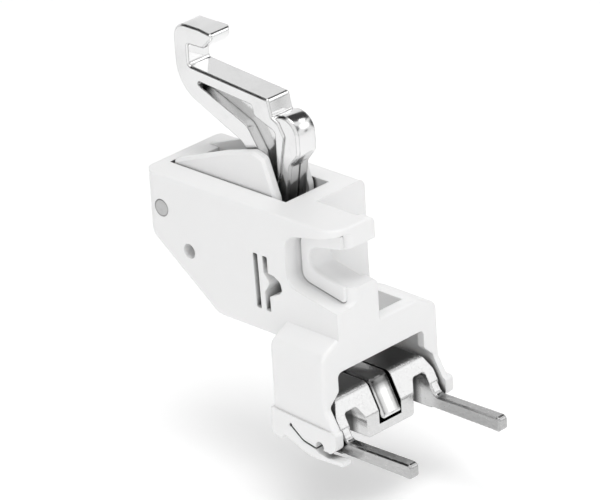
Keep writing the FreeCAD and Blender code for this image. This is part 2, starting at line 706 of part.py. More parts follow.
def make_feed_arm():
    """Chromed casting: hook, spine with its pocket, knuckle, post, leg and toe."""
    blade = side_prism(HOOK_AND_SPINE, -ARM_HALF_WIDTH, ARM_HALF_WIDTH)
    blade = blade.makeChamfer(ARM_EDGE, side_edges(blade, ARM_HALF_WIDTH, SPINE_BOTTOM))
    pocket = side_prism(SPINE_POCKET, WEB_HALF_WIDTH, ARM_HALF_WIDTH + 1)
    hub = rod(HUB_RADIUS, ARM_PIVOT, -POST_HALF_WIDTH, POST_HALF_WIDTH)
    body = blade.fuse([arm_leg(), hub]).cut([both_sides(pocket), mould_line()] + hook_trims())
    spring_room = rod(HUB_RADIUS + 0.4, ARM_PIVOT, -ARM_HALF_WIDTH - 1, HUB_NEAR_X)
    reach = ARM_HALF_WIDTH + 1
    pivot_bore = rod(ARM_PIN_RADIUS + RUNNING_FIT, ARM_PIVOT, -reach, reach)
    toe_bore = rod(CLAW_PIN_RADIUS + RUNNING_FIT, CLAW_PIVOT, -reach, reach)
    return body.cut([spring_room, pivot_bore, toe_bore]).removeSplitter()


def side_edges(shape, half_width, above):
    """Edges on both flat sides of a plate, above a height."""
    found = []
    for edge in shape.Edges:
        bounds = edge.BoundBox
        flat = bounds.XLength < TINY * 10 and abs(abs(bounds.XMin) - half_width) < TINY * 10
        if flat and bounds.ZMax > above:
            found.append(edge)
    return found


# Feed claw

def claw_front_view():
    """Front view of the saddle: arched legs with the bracket in the middle."""
    right = [
        (CLAW_HALF_WIDTH - 1.2, CLAW_TOP, 1.0),
        (CLAW_HALF_WIDTH, CLAW_TOP - 2.3, 1.0),
        (CLAW_HALF_WIDTH, CLAW_BOTTOM),
        (LEG_INSIDE, CLAW_BOTTOM),
        (LEG_INSIDE, NOTCH_TOP, 0.5),
        (NOTCH_IN, NOTCH_TOP, 0.6),
        (BRACKET_HALF_WIDTH, NOTCH_TOP - 2.0, 1.5),
        (BRACKET_HALF_WIDTH, BRACKET_BOTTOM, 0.5),
    ]
    left = [(-point[0],) + point[1:] for point in reversed(right)]
    return right + left


def saddle():
    """The claw's body without its prongs."""
    face_end = toe_face_y(CLAW_FACE_END, CLAW_CORNER, CLAW_TOP)
    arch = front_prism(claw_front_view(), face_end - 1, CLAW_REAR)
    side = side_prism([
        (CLAW_REAR, CLAW_TOP, 0.8),
        (CLAW_CORNER, CLAW_TOP, 1.3),
        (face_end, CLAW_FACE_END, 0.8),
        (face_end, CLAW_BOTTOM - 1),
        (CLAW_REAR, CLAW_BOTTOM - 1),
    ], -CLAW_HALF_WIDTH - 1, CLAW_HALF_WIDTH + 1)
    wide = BRACKET_HALF_WIDTH + 1.0
    rear_gap = box((-wide, wide), (BRACKET_REAR, CLAW_REAR + 1), (CLAW_BOTTOM - 1, NOTCH_TOP))
    slot = box((-BRACKET_SLOT_HALF_WIDTH, BRACKET_SLOT_HALF_WIDTH), (face_end - 1, CLAW_REAR + 1),
               (BRACKET_SLOT_BOTTOM, CLAW_TOP + 1))
    front = toe_face_y(NOTCH_TOP, CLAW_CORNER, CLAW_TOP) + CLAW_FRONT_SKIN
    hollow = box((NOTCH_IN, LEG_INSIDE), (front, CLAW_REAR + 1), (NOTCH_TOP - 1, CLAW_TOP - CLAW_SKIN))
    return arch.common(side).cut([rear_gap, slot, both_sides(hollow)])


def prong():
    """One leg and prong with its toothed underside."""
    face_end = toe_face_y(CLAW_FACE_END, CLAW_CORNER, CLAW_TOP)
    blend_y = toe_face_y(PRONG_TOP, CLAW_CORNER, CLAW_TOP)
    bar = side_prism([
        (CLAW_REAR, CLAW_FACE_END),
        (face_end, CLAW_FACE_END),
        (blend_y, PRONG_TOP, 1.2),
        (PRONG_TIP, PRONG_TOP + 0.25, PRONG_TIP_ROUND),
        (PRONG_TIP, CLAW_BOTTOM, PRONG_TIP_ROUND),
        (CLAW_REAR, CLAW_BOTTOM),
    ], LEG_INSIDE, CLAW_HALF_WIDTH)
    upper = edges_inside(bar, (LEG_INSIDE - 1, PRONG_TIP - 1, PRONG_TOP - TINY),
                         (CLAW_HALF_WIDTH + 1, blend_y, PRONG_TOP + PRONG_HEIGHT))
    bar = bar.makeChamfer(PRONG_EDGE, [edge for edge in upper if edge.BoundBox.XLength < TINY * 10])
    count = int((TOOTH_START - PRONG_TIP - PRONG_TIP_ROUND) / TOOTH_PITCH)
    cuts = []
    for index in range(count):
        y = TOOTH_START - index * TOOTH_PITCH
        cuts.append(side_prism([
            (y, CLAW_BOTTOM - 0.1),
            (y - TOOTH_PITCH / 2, CLAW_BOTTOM + TOOTH_DEPTH),
            (y - TOOTH_PITCH, CLAW_BOTTOM - 0.1),
        ], LEG_INSIDE - 1, CLAW_HALF_WIDTH + 1))
    return bar.cut(cuts)


def make_feed_claw():
    """Steel casting: saddle, bracket round the toe, and two toothed prongs."""
    body = saddle().fuse(both_sides(prong()))
    reach = NOTCH_IN + CLAW_PIN_HEAD_LENGTH
    bore = rod(CLAW_PIN_RADIUS, CLAW_PIVOT, -reach, reach)
    return body.cut(bore).removeSplitter()


def make_claw_pin():
    """Pin through the bracket and the toe, riveted over at the far end."""
    far = NOTCH_IN
    turns = CLAW_SPRING_STEPS / COIL_SIDES
    near = -far - (2 * CLAW_SPRING_WIRE + SPRING_GAP) * (turns + 1) - CLAW_SPRING_ROOM
    shank = rod(CLAW_PIN_RADIUS, CLAW_PIVOT, near, far)
    far_head = rod(CLAW_PIN_HEAD_RADIUS, CLAW_PIVOT, far, far + CLAW_PIN_HEAD_LENGTH)
    near_head = rod(CLAW_PIN_HEAD_RADIUS, CLAW_PIVOT, near - CLAW_PIN_HEAD_LENGTH, near)
    return shank.fuse([far_head, near_head]).removeSplitter()


# Springs

def coil_points(radius, pitch, first, last, hand):
    """Points of a helix standing on Z = 0, from step to step of its turns."""
    points = []
    for step in range(first, last + 1):
        angle = hand * 2 * pi * step / COIL_SIDES
        points.append(V(radius * cos(angle), radius * sin(angle), pitch * (step - first) / COIL_SIDES))
    return points


def bent_wire(points, wire):
    """Wire through points, of short straight lengths with mitred joints."""
    along = (points[1] - points[0]).normalize()
    across = along.cross(V(1, 0, 0) if abs(along.x) < abs(along.z) else V(0, 0, 1)).normalize() * wire
    corners = []
    for side in range(WIRE_SIDES + 1):
        turn = FreeCAD.Rotation(along, 360 * side / WIRE_SIDES)
        corners.append(points[0] + turn.multVec(across))
    return Part.makePolygon(points).makePipeShell([Part.makePolygon(corners)], True, False, MITRED)


def make_lift_spring():
    """Compression spring between the tray's seat and the lever's web."""
    low = LIFT_SEAT_TOP + LIFT_SPRING_WIRE
    high = LEVER_BOTTOM - LIFT_SPRING_WIRE
    pitch = (high - low - 2 * SPRING_GAP) * COIL_SIDES / LIFT_SPRING_STEPS
    place = V(0, LIFT_SPRING_Y, low + SPRING_GAP)
    points = [place + point for point in coil_points(LIFT_SPRING_RADIUS, pitch, 0, LIFT_SPRING_STEPS, 1)]
    return bent_wire(points, LIFT_SPRING_WIRE)


def torsion_points(radius, wire, first, last, hand, at, x_start):
    """Points of a close coil along -X round a pivot."""
    pitch = 2 * wire + SPRING_GAP
    points = []
    for point in coil_points(radius, pitch, first, last, hand):
        points.append(V(x_start - wire - point.z, at[0] + point.y, at[1] + point.x))
    return points


def make_arm_spring():
    """Torsion spring beside the arm's hub, one leg behind the post, one on the web."""
    wire = ARM_SPRING_WIRE
    points = torsion_points(ARM_SPRING_RADIUS, wire, ARM_SPRING_START_STEPS, ARM_SPRING_END_STEPS, 1,
                            ARM_PIVOT, HUB_NEAR_X - SPRING_GAP)
    behind_post = V(points[0].x, POST_REAR + wire + SPRING_GAP, ARM_SPRING_REACH)
    on_web = V(points[-1].x, LEVER_WEB_FRONT + 2, LEVER_BOTTOM + LEVER_WEB + wire + SPRING_GAP)
    return bent_wire([behind_post] + points + [on_web], wire)


def make_claw_spring():
    """Torsion spring on the claw's pin that keeps the prongs level."""
    wire = CLAW_SPRING_WIRE
    x_start = -NOTCH_IN - CLAW_SPRING_ROOM / 2
    points = torsion_points(CLAW_SPRING_RADIUS, wire, 0, CLAW_SPRING_STEPS, -1, CLAW_PIVOT, x_start)
    under_skin = V(points[0].x, CLAW_REAR - 2, CLAW_TOP - CLAW_SKIN - wire - SPRING_GAP)
    behind = V(points[-1].x, BRACKET_REAR + 0.9, CLAW_PIVOT[1] - 0.75)
    under_bar = V(POST_HALF_WIDTH / 2, behind.y, behind.z)
    return bent_wire([under_skin] + points + [behind, under_bar], wire)


PIECES = {
    "housing": make_housing,
    "rear_pivot_pin": make_rear_pivot_pin,
    "lift_lever": make_lift_lever,
    "lift_spring": make_lift_spring,
    "arm_pivot_pin": make_arm_pivot_pin,
    "arm_spacer": make_arm_spacer,
    "feed_arm": make_feed_arm,
    "arm_spring": make_arm_spring,
    "feed_claw": make_feed_claw,
    "claw_pin": make_claw_pin,
    "claw_spring": make_claw_spring,
}


def main():
    """Write each piece with the presser bar's axis as the origin."""
    os.makedirs("parts", exist_ok=True)
    to_bar_axis = V(-SEAT_X - BAR_RADIUS, 0, 0)
    for name, make in PIECES.items():
        shape = make()
        shape.translate(to_bar_axis)
        shape.exportStep("parts/" + name + ".step")
        print(name, shape.isValid(), len(shape.Solids), round(shape.Volume, 2))


main()
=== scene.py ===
import math

import bpy
from mathutils import Matrix, Vector


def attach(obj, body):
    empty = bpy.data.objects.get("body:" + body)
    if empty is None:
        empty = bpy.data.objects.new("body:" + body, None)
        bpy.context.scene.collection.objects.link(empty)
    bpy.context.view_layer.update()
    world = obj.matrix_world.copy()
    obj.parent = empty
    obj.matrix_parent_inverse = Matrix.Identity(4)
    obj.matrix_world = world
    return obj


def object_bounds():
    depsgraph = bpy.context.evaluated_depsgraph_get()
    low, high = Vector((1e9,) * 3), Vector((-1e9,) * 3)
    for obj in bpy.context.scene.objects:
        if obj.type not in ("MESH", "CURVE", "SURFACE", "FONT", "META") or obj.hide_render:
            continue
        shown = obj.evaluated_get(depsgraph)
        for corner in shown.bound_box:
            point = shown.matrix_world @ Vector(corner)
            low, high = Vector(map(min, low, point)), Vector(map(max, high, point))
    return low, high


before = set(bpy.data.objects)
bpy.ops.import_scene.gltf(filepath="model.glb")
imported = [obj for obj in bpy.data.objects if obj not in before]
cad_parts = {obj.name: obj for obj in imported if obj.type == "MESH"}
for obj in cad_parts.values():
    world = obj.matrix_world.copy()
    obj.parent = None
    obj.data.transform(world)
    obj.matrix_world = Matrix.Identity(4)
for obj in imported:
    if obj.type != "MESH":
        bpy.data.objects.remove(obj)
cad_low, cad_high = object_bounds()

MM = 0.001

# Camera, as the photograph was taken, in millimetres and degrees
CAMERA_PLACE = (-453.51, -451.95, 296.48)
CAMERA_AZIMUTH = -44.4
CAMERA_ELEVATION = 24.9
CAMERA_ROLL = -3.55
CAMERA_LENS = 312.0
CAMERA_SENSOR = 36.0
CAMERA_NEAR = 10.0
CAMERA_FAR = 10000.0

# Studio floor, in metres, far enough down for the prongs to stay clear at every limit
FLOOR_SIZE = 1.6
FLOOR_GAP = 10.5 * MM
FLOOR_GREY = 0.96
FLOOR_GLOW = 0.2
FLOOR_ROUGHNESS = 0.9
FLOOR_SHEEN = 0.1

# White tent, with dark and bright cards that the metal mirrors: direction of each card,
# half angles of its core and of its outer edge in degrees, and brightness
TENT_STRENGTH = 0.96
TENT_CARDS = [
    ((0.64, 0.60, 0.47), 12, 20, 0.95),
    ((0.64, 0.05, 0.77), 23, 27, 0.05),
    ((0.12, -0.83, 0.54), 16, 20, 0.06),
    ((0.95, -0.28, 0.16), 14, 18, 0.06),
    ((0.64, -0.65, 0.42), 12.5, 14, 1.75),
    ((0.64, -0.77, 0.03), 3, 6, 0.15),
    ((-0.42, 0.65, 0.63), 20, 32, 0.02),
    ((-0.95, 0.15, 0.25), 6, 16, 0.3),
]

# Soft boxes: place and width in millimetres, and power in watts
SOFT_BOXES = {
    "key": ((-60, -70, 420), 220, 0.66),
    "right": ((250, -110, 280), 90, 0.05),
}

# In the finishes below, greys are reflectances, and rounds, reaches and depths are metres.
# A noise is its features per metre, its detail and sometimes its stretch. A layered noise is
# a coarse one, a fine one and the fine one's share. A relief is its depth and its strength.

# Noise that breaks up the bands along edges (painted highlight on the plastic, painted dark reflection
# on the chrome, lighter edges on the claw), and the samples of the tests for edges and for crevices,
# where shade is painted
EDGE_BAND_NOISE = (2500.0, 4.0)
EDGE_BAND_LEAST = 0.5
EDGE_SAMPLES = 6
CREVICE_SAMPLES = 8

# Plastic
PLASTIC_FLOW = ((70.0, 4.0), (420.0, 3.0), 0.3)
PLASTIC_POLISH = (900.0, 4.0)
PLASTIC_SPARK = (2600.0, 3.0)
PLASTIC_SPARK_RELIEF = (0.006 * MM, 0.6)
PLASTIC_GREYS = (0.84, 0.87)
# Painted shade: the grey that the plastic is darkened to in its crevices
PLASTIC_PAINTED_SHADE_GREY = 0.07
# Painted highlight: the lighter grey along the plastic's edges
PLASTIC_EDGE_HIGHLIGHT_GREY = 0.95
PLASTIC_ROUGHNESS = (0.36, 0.48)
PLASTIC_EDGE_ROUND = 0.2 * MM
# Painted highlight: how far it reaches from an edge
PLASTIC_HIGHLIGHT_REACH = 0.15 * MM
# Painted shade: where its crevice mask opens and shuts, and how far walls reach on the housing and on
# the lever
PLASTIC_CREVICE_OPEN = 0.62
PLASTIC_CREVICE_SHUT = 0.3
HOUSING_PAINTED_SHADE_REACH = 1.4 * MM
LEVER_PAINTED_SHADE_REACH = 0.4 * MM

# Chromed arm
CHROME_HAZE = ((180.0, 4.0), (1500.0, 5.0), 0.35)
CHROME_CAST = ((240.0, 2.0), (1600.0, 4.0), 0.06)
CHROME_CAST_RELIEF = (0.03 * MM, 0.6)
CHROME_GREYS = (0.7, 0.8)
# Painted shade: the grey the arm is darkened to inside the tray
CHROME_TRAY_SHADE_GREY = 0.17
# Painted shade: the grey that the arm is darkened to in its crevices
CHROME_PAINTED_SHADE_GREY = 0.1
# Painted reflection: the dark grey along the arm's edges
CHROME_EDGE_REFLECTION_GREY = 0.03
CHROME_ROUGHNESS = (0.05, 0.16)
CHROME_EDGE_ROUND = 0.3 * MM
# Painted reflection: how far the dark edge lines reach, and the cosines of the turn where they start
# and stop
CHROME_EDGE_REFLECTION_REACH = 0.2 * MM
CHROME_EDGE_REFLECTION_SHARP = 0.88
CHROME_EDGE_REFLECTION_FLAT = 0.985
# Painted shade: how far walls reach, and where the arm's crevice mask opens and shuts
CHROME_PAINTED_SHADE_REACH = 1.2 * MM
CHROME_CREVICE_OPEN = 0.62
CHROME_CREVICE_SHUT = 0.25

# Heights between which the arm is darkened with painted shade inside the tray, and bright again at its
# toe
TRAY_BRIGHT = 12.0 * MM
TRAY_SHADE_DEEP = 6.0 * MM
TOE_SHADE_DEEP = -18.9 * MM
TOE_BRIGHT = -20.0 * MM

# Front of the arm, slightly crowned across by its casting and polishing
ARM_MIDDLE = -2.1 * MM
CROWN_RISE = 0.26 * MM
CROWN_HALF_WIDTH = 2.0 * MM
CROWN_FRONT = 7.0 * MM
CROWN_REAR = 12.0 * MM

# Claw: ground saddle, darker prongs in front of it, and behind it a dark casting, partly its cast
# finish and partly painted shade from under the skirt
CLAW_GRAIN = (3200.0, 5.0, (1.0, 0.35, 1.0))
CLAW_GRAIN_RELIEF = (0.01 * MM, 0.6)
GROUND_GREYS = (0.56, 0.72)
PRONG_GREYS = (0.34, 0.56)
# Partly cast finish and partly painted shade: the greys of the claw behind its ground front
CAST_AND_SHADE_GREYS = (0.06, 0.13)
# Painted shade: the grey that the claw is darkened to in its crevices
CLAW_PAINTED_SHADE_GREY = 0.06
# Lighter grey along the claw's edges
CLAW_EDGE_GREY = 0.85
CLAW_ROUGHNESS = (0.16, 0.3)
CAST_MORE_ROUGH = 0.12
CLAW_EDGE_ROUND = 0.14 * MM
CLAW_EDGE_REACH = 0.1 * MM
# Painted shade: how far walls reach for the claw's crevices
CLAW_PAINTED_SHADE_REACH = 1.5 * MM
CLAW_GROUND_FRONT = -5.0 * MM
CLAW_CAST_SHADE_REAR = -3.8 * MM
PRONG_FRONT = -8.5 * MM
PRONG_REAR = -6.8 * MM

# Pins
PIN_GRAIN = (1800.0, 4.0)
PIN_GRAIN_RELIEF = (0.01 * MM, 0.4)
PIN_GREYS = (0.55, 0.72)
PIN_ROUGHNESS = (0.3, 0.45)
PIN_EDGE_ROUND = 0.08 * MM

# Head of the rear pin, with its groove's edges as shares of its radius, and painted shade darkening
# the groove
HEAD_GRAIN = (1500.0, 4.0)
HEAD_GRAIN_RELIEF = (0.01 * MM, 0.5)
HEAD_PLACE = (0.0, 27.54 * MM, 1.18 * MM)
HEAD_RADIUS = 1.3 * MM
HEAD_GREYS = (0.42, 0.58)
HEAD_ROUGHNESS = (0.3, 0.42)
GROOVE_INNER = 0.84
GROOVE_OUTER = 0.95
GROOVE_SHADE_GREY = 0.3
GROOVE_RELIEF = (-0.12 * MM, 1.0)

# Springs
WIRE_DRAWN = (4000.0, 3.0)
WIRE_DRAWN_RELIEF = (0.004 * MM, 0.5)
WIRE_GREYS = (0.6, 0.78)
WIRE_ROUGHNESS = (0.15, 0.28)
WIRE_EDGE_ROUND = 0.1 * MM

# Raised band round the clamp screw's slot, in the floor of its recess, in millimetres
RIM_FLOOR_X = -7.1
RIM_SUNK = 0.1
RIM_HEIGHT = 0.55
RIM_ROUND = 0.28
RIM_ROUND_STEPS = 4
RIM_FRONT = -4.55
RIM_REAR = 3.3
RIM_TOP = 4.1
RIM_BOTTOM = -4.3
RIM_REAR_TOP_ROUND = 1.9
RIM_REAR_BOTTOM_ROUND = 1.7
RIM_FRONT_ROUND = 0.4
RECESS_SLOPE = 0.2
SLOT_RADIUS = 1.84
SLOT_HALF_AT_AXIS = 1.875
SLOT_SLOPE = 0.2035
CORNER_STEPS = 10
CLOSEST_POINTS = 0.01
SHARP_ANGLE = 40


def camera_axes():
    """Right, up and backward directions of the photograph's camera."""
    azimuth = math.radians(CAMERA_AZIMUTH)
    elevation = math.radians(CAMERA_ELEVATION)
    roll = math.radians(CAMERA_ROLL)
    back = Vector((math.sin(azimuth) * math.cos(elevation),
                   -math.cos(azimuth) * math.cos(elevation),
                   math.sin(elevation)))
    level = Vector((math.cos(azimuth), math.sin(azimuth), 0.0))
    upright = back.cross(level)
    right = level * math.cos(roll) + upright * math.sin(roll)
    up = upright * math.cos(roll) - level * math.sin(roll)
    return right, up, back


def make_camera():
    """A long lens, with the photograph's framing."""
    data = bpy.data.cameras.new("camera")
    data.lens = CAMERA_LENS
    data.sensor_width = CAMERA_SENSOR
    data.clip_start = CAMERA_NEAR * MM
    data.clip_end = CAMERA_FAR * MM
    camera = bpy.data.objects.new("camera", data)
    right, up, back = camera_axes()
    turn = Matrix((right, up, back)).transposed()
    camera.matrix_world = Matrix.Translation(Vector(CAMERA_PLACE) * MM) @ turn.to_4x4()
    bpy.context.scene.collection.objects.link(camera)
    bpy.context.scene.camera = camera


def opaque_grey(value):
    """A grey as a colour without transparency."""
    return value, value, value, 1.0


class Recipe:
    """Short calls for building a material's nodes."""

    def __init__(self, name):
        self.material = bpy.data.materials.new(name)
        self.material.use_nodes = True
        self.tree = self.material.node_tree
        self.shader = self.tree.nodes["Principled BSDF"]

    def node(self, kind, **values):
        """A new node with its settings."""
        made = self.tree.nodes.new(kind)
        for key, value in values.items():
            setattr(made, key, value)
        return made

    def link(self, start, end):
        """A wire from an output to an input."""
        self.tree.links.new(start, end)

    def set(self, **values):
        """Constants on the shader's own sockets."""
        for key, value in values.items():
            self.shader.inputs[key.replace("_", " ")].default_value = value

    def feed(self, **values):
        """Node results on the shader's sockets."""
        for key, value in values.items():
            self.link(value, self.shader.inputs[key.replace("_", " ")])

    def place(self):
        """Object coordinates in metres, at the model's own place."""
        return self.node("ShaderNodeTexCoord").outputs["Object"]

    def axes(self):
        """The same coordinates, as one output for each axis."""
        parts = self.node("ShaderNodeSeparateXYZ")
        self.link(self.place(), parts.inputs["Vector"])
        return parts.outputs

    def noise(self, scale, detail, stretch=None):
        """Noise; scale is in features per metre."""
        source = self.place()
        if stretch:
            mapping = self.node("ShaderNodeMapping")
            mapping.inputs["Scale"].default_value = stretch
            self.link(source, mapping.inputs["Vector"])
            source = mapping.outputs["Vector"]
        noise = self.node("ShaderNodeTexNoise")
        noise.inputs["Scale"].default_value = scale
        noise.inputs["Detail"].default_value = detail
        self.link(source, noise.inputs["Vector"])
        return noise.outputs["Fac"]

    def spread(self, value, low, high, low_in=0.3, high_in=0.7):
        """A value carried from one range to another."""
        remap = self.node("ShaderNodeMapRange")
        remap.inputs["From Min"].default_value = low_in
        remap.inputs["From Max"].default_value = high_in
        remap.inputs["To Min"].default_value = low
        remap.inputs["To Max"].default_value = high
        self.link(value, remap.inputs["Value"])
        return remap.outputs["Result"]

    def mix(self, factor, first, second):
        """Two colours, or results that give them, mixed by a factor."""
        mix = self.node("ShaderNodeMix", data_type="RGBA")
        self.link(factor, mix.inputs["Factor"])
        for name, colour in (("A", first), ("B", second)):
            if isinstance(colour, float):
                mix.inputs[name].default_value = opaque_grey(colour)
            else:
                self.link(colour, mix.inputs[name])
        return mix.outputs["Result"]

    def sum(self, first, second, share):
        """One value with a share of another added."""
        made = self.node("ShaderNodeMath", operation="MULTIPLY_ADD")
        made.inputs[1].default_value = share
        self.link(second, made.inputs[0])
        self.link(first, made.inputs[2])
        return made.outputs["Value"]

    def layered(self, coarse, fine, share):
        """A coarse noise with a share of a fine one added."""
        return self.sum(self.noise(*coarse), self.noise(*fine), share)

    def product(self, first, second):
        """Two values multiplied."""
        made = self.node("ShaderNodeMath", operation="MULTIPLY")
        self.link(first, made.inputs[0])
        self.link(second, made.inputs[1])
        return made.outputs["Value"]

    def bump(self, height, distance, strength=1.0, normal=None):
        """Relief from a height; distance is the metres that a height of 1 stands for."""
        bump = self.node("ShaderNodeBump")
        bump.inputs["Distance"].default_value = distance
        bump.inputs["Strength"].default_value = strength
        self.link(height, bump.inputs["Height"])
        if normal is not None:
            self.link(normal, bump.inputs["Normal"])
        return bump.outputs["Normal"]

    def soft_edges(self, radius):
        """A normal that rounds edges by a small radius."""
        bevel = self.node("ShaderNodeBevel", samples=EDGE_SAMPLES)
        bevel.inputs["Radius"].default_value = radius
        return bevel.outputs["Normal"]

    def edge_band(self, radius, sharp=0.75, flat=0.98):
        """0 on flats and 1 along edges, broken up by noise; the limits are cosines of the turn."""
        turn = self.node("ShaderNodeVectorMath", operation="DOT_PRODUCT")
        self.link(self.soft_edges(radius), turn.inputs[0])
        self.link(self.node("ShaderNodeNewGeometry").outputs["True Normal"], turn.inputs[1])
        edge = self.spread(turn.outputs["Value"], 1.0, 0.0, sharp, flat)
        return self.product(edge, self.spread(self.noise(*EDGE_BAND_NOISE), EDGE_BAND_LEAST, 1.0))

    def painted_shade_mask(self, reach, open_at=0.9, shut_at=0.35):
        """1 deep in slots and corners and 0 on open faces, from ambient occlusion, for painting shade
        into a colour; reach is how far walls count.
        """
        hidden = self.node("ShaderNodeAmbientOcclusion", samples=CREVICE_SAMPLES)
        hidden.inputs["Distance"].default_value = reach
        return self.spread(hidden.outputs["AO"], 1.0, 0.0, shut_at, open_at)


def white_plastic(name="white_plastic", painted_shade_reach=HOUSING_PAINTED_SHADE_REACH):
    """Satin white moulding compound, with faint flow marks, a fine spark texture, painted shade in its
    crevices and a painted highlight along its edges.
    """
    recipe = Recipe(name)
    recipe.set(IOR=1.5, Subsurface_Weight=0.1, Subsurface_Scale=0.8 * MM,
               Subsurface_Radius=(1.0, 0.95, 0.9), Coat_Weight=0.12, Coat_Roughness=0.25)
    moulded = recipe.mix(recipe.layered(*PLASTIC_FLOW), *PLASTIC_GREYS)
    # Painted shade: the colour darkened in crevices
    painted_crevice_shade = recipe.painted_shade_mask(painted_shade_reach, PLASTIC_CREVICE_OPEN, PLASTIC_CREVICE_SHUT)
    shaded = recipe.mix(painted_crevice_shade, moulded, PLASTIC_PAINTED_SHADE_GREY)
    # Painted highlight: edges lightened
    edged = recipe.mix(recipe.edge_band(PLASTIC_HIGHLIGHT_REACH), shaded, PLASTIC_EDGE_HIGHLIGHT_GREY)
    rough = recipe.spread(recipe.noise(*PLASTIC_POLISH), *PLASTIC_ROUGHNESS)
    rounded = recipe.soft_edges(PLASTIC_EDGE_ROUND)
    relief = recipe.bump(recipe.noise(*PLASTIC_SPARK), *PLASTIC_SPARK_RELIEF, rounded)
    recipe.feed(Base_Color=edged, Roughness=rough, Normal=relief)
    return recipe.material


def lever_plastic():
    """The same compound on the lever, whose painted crevice shade reaches less far, so its gaps stay
    paler.
    """
    return white_plastic("lever_plastic", LEVER_PAINTED_SHADE_REACH)


def inside_tray(recipe, height):
    """1 on the part of the arm between the tray's mouth and the toe, where painted shade darkens it.
    """
    below_mouth = recipe.spread(height, 1.0, 0.0, TRAY_SHADE_DEEP, TRAY_BRIGHT)
    above_toe = recipe.spread(height, 0.0, 1.0, TOE_BRIGHT, TOE_SHADE_DEEP)
    return recipe.product(below_mouth, above_toe)


def crowned_front(recipe, across, along):
    """A normal that makes the knuckle and the toe slightly round across."""
    off_middle = recipe.node("ShaderNodeMath", operation="SUBTRACT")
    off_middle.inputs[1].default_value = ARM_MIDDLE
    recipe.link(across, off_middle.inputs[0])
    squared = recipe.product(off_middle.outputs["Value"], off_middle.outputs["Value"])
    fall = -CROWN_RISE / CROWN_HALF_WIDTH ** 2
    height = recipe.product(squared, recipe.spread(along, fall, 0.0, CROWN_FRONT, CROWN_REAR))
    return recipe.bump(height, 1.0, normal=recipe.soft_edges(CHROME_EDGE_ROUND))


def chrome():
    """Bright plating over a cast surface, with painted dark reflection along its edges and painted
    shade inside the tray.
    """
    recipe = Recipe("chrome_plating")
    recipe.set(Metallic=1.0)
    axes = recipe.axes()
    haze = recipe.layered(*CHROME_HAZE)
    plated = recipe.mix(recipe.spread(haze, 0.0, 1.0), *CHROME_GREYS)
    # Painted shade: the arm darkened inside the tray
    tray_shaded = recipe.mix(inside_tray(recipe, axes["Z"]), plated, CHROME_TRAY_SHADE_GREY)
    # Painted shade: the colour darkened in crevices
    painted_crevice_shade = recipe.painted_shade_mask(CHROME_PAINTED_SHADE_REACH, CHROME_CREVICE_OPEN, CHROME_CREVICE_SHUT)
    shaded = recipe.mix(painted_crevice_shade, tray_shaded, CHROME_PAINTED_SHADE_GREY)
    # Painted reflection: dark lines along the edges
    painted_reflection_edges = recipe.edge_band(CHROME_EDGE_REFLECTION_REACH, CHROME_EDGE_REFLECTION_SHARP, CHROME_EDGE_REFLECTION_FLAT)
    outlined = recipe.mix(painted_reflection_edges, shaded, CHROME_EDGE_REFLECTION_GREY)
    crowned = crowned_front(recipe, axes["X"], axes["Y"])
    relief = recipe.bump(recipe.layered(*CHROME_CAST), *CHROME_CAST_RELIEF, crowned)
    recipe.feed(Base_Color=outlined, Roughness=recipe.spread(haze, *CHROME_ROUGHNESS), Normal=relief)
    return recipe.material


def claw_steel():
    """Plated casting: ground bright in front, and darker behind, partly as cast and partly with
    painted shade from under the skirt.
    """
    recipe = Recipe("claw_steel")
    recipe.set(Metallic=1.0)
    along = recipe.axes()["Y"]
    grain = recipe.noise(*CLAW_GRAIN)
    behind = recipe.spread(along, 0.0, 1.0, CLAW_GROUND_FRONT, CLAW_CAST_SHADE_REAR)
    prong = recipe.spread(along, 1.0, 0.0, PRONG_FRONT, PRONG_REAR)
    front = recipe.mix(prong, recipe.mix(grain, *GROUND_GREYS), recipe.mix(grain, *PRONG_GREYS))
    # Partly cast finish and partly painted shade: the claw darkened behind
    body = recipe.mix(behind, front, recipe.mix(grain, *CAST_AND_SHADE_GREYS))
    # Painted shade: the colour darkened in crevices
    shaded = recipe.mix(recipe.painted_shade_mask(CLAW_PAINTED_SHADE_REACH), body, CLAW_PAINTED_SHADE_GREY)
    # Lighter along the edges
    edged = recipe.mix(recipe.edge_band(CLAW_EDGE_REACH), shaded, CLAW_EDGE_GREY)
    rough = recipe.sum(recipe.spread(grain, *CLAW_ROUGHNESS), behind, CAST_MORE_ROUGH)
    relief = recipe.bump(grain, *CLAW_GRAIN_RELIEF, recipe.soft_edges(CLAW_EDGE_ROUND))
    recipe.feed(Base_Color=edged, Roughness=rough, Normal=relief)
    return recipe.material


def pin_steel():
    """Turned pin, satin on its ends."""
    recipe = Recipe("pin_steel")
    recipe.set(Metallic=1.0)
    grain = recipe.noise(*PIN_GRAIN)
    relief = recipe.bump(grain, *PIN_GRAIN_RELIEF, recipe.soft_edges(PIN_EDGE_ROUND))
    recipe.feed(Base_Color=recipe.mix(grain, *PIN_GREYS),
                Roughness=recipe.spread(grain, *PIN_ROUGHNESS), Normal=relief)
    return recipe.material


